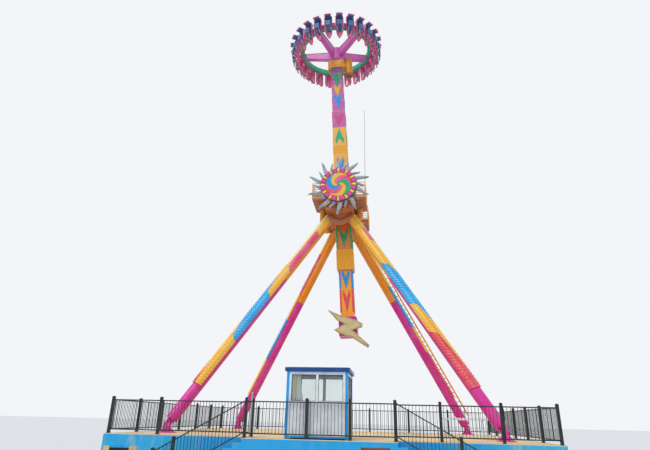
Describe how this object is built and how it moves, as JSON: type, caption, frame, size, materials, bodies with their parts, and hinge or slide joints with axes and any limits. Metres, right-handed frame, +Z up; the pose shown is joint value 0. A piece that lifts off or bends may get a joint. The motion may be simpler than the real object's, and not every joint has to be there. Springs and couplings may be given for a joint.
{
  "type": "pendulum ride",
  "caption": "Pendulum ride: a raised platform with a cabin and fences, four splayed legs, and a motor-driven swinging arm that carries a turning ring of outward-facing seats.",
  "frame": {"origin": "on the ground, straight under the arm's pivot", "axes": "+X to the right along the front, +Y from the front to the rear, +Z up"},
  "size_m": [16.48, 14.365, 25.5946],
  "materials": {
    "platform_blue": "weathered gloss enamel on sheet cladding",
    "deck_cream": "worn matt floor paint",
    "trim_cream": "gloss enamel",
    "panel_blue": "gloss enamel",
    "fence_green": "gloss enamel",
    "grey_steel": "galvanised",
    "white_paint": "gloss enamel",
    "cabin_azure": "gloss enamel",
    "window_glass": "clear",
    "roof_blue": "gloss enamel",
    "leg_magenta": "gloss enamel with banded light covers",
    "foot_steel": "worn enamel",
    "head_orange": "gloss enamel",
    "disc_violet": "gloss enamel with light covers",
    "ray_silver": "silver enamel",
    "service_orange": "gloss enamel",
    "drive_orange": "gloss enamel",
    "black_rubber": "matt",
    "arm_orange": "gloss enamel with banded light covers",
    "bolt_magenta": "gloss enamel with a cream face",
    "spoke_pink": "gloss enamel",
    "ring_magenta": "gloss enamel",
    "seat_pink": "moulded shell",
    "pad_blue": "stitched soft cover",
    "harness_steel": "gloss enamel"
  },
  "bodies": {
    "structure": {"cabin_base": "cabin_azure", "cabin_door": "white_paint", "cabin_frame": "cabin_azure", "cabin_glass": "window_glass", "cabin_panels": "white_paint", "cabin_roof": "roof_blue", "cabin_window_frames": "white_paint", "deck_floor": "deck_cream", "drive_cable": "black_rubber", "entry_post": "grey_steel", "foot_brackets": "foot_steel", "foot_pins": "foot_steel", "foot_plates": "foot_steel", "front_fences": "fence_green", "hatch_panel": "panel_blue", "head_front": "head_orange", "head_rear": "head_orange", "ladder": "service_orange", "landing_fence": "fence_green", "leg_front_left": "leg_magenta", "leg_front_right": "leg_magenta", "leg_rear_left": "leg_magenta", "leg_rear_right": "leg_magenta", "lightning_rod": "grey_steel", "medallion_disc": "disc_violet", "medallion_rays": "ray_silver", "plinth": "platform_blue", "rear_fence": "fence_green", "recess_frames": "trim_cream", "service_floors": "service_orange", "service_railings": "service_orange", "side_fences": "fence_green", "stair_left": "platform_blue", "stair_rails": "fence_green", "stair_right": "platform_blue", "swing_drives": "drive_orange", "white_barrier": "white_paint"},
    "pendulum": {"arm_hub": "arm_orange", "upper_arm": "arm_orange", "lower_arm": "arm_orange", "counterweight": "bolt_magenta", "counterweight_flange": "leg_magenta", "bearing_housing": "drive_orange", "spin_motor": "drive_orange"},
    "gondola": {"gondola_hub": "spoke_pink", "spokes": "spoke_pink", "ring_beam": "ring_magenta", "seat_backs": "seat_pink", "seat_sides": "seat_pink", "seat_pans": "seat_pink", "back_pads": "pad_blue", "seat_pads": "pad_blue", "harness_arms": "harness_steel", "harness_pads": "pad_blue"}
  },
  "joints": [
    {"name": "pendulum_swing", "type": "hinge", "parent": "structure", "child": "pendulum", "pos_m": [0, 0, 13.9], "axis": [0, 1, 0], "continuous": true},
    {"name": "gondola_spin", "type": "hinge", "parent": "pendulum", "child": "gondola", "pos_m": [-0.49827, 0, 24.08782], "axis": [-0.0488, 0, 0.9988], "continuous": true}
  ]
}
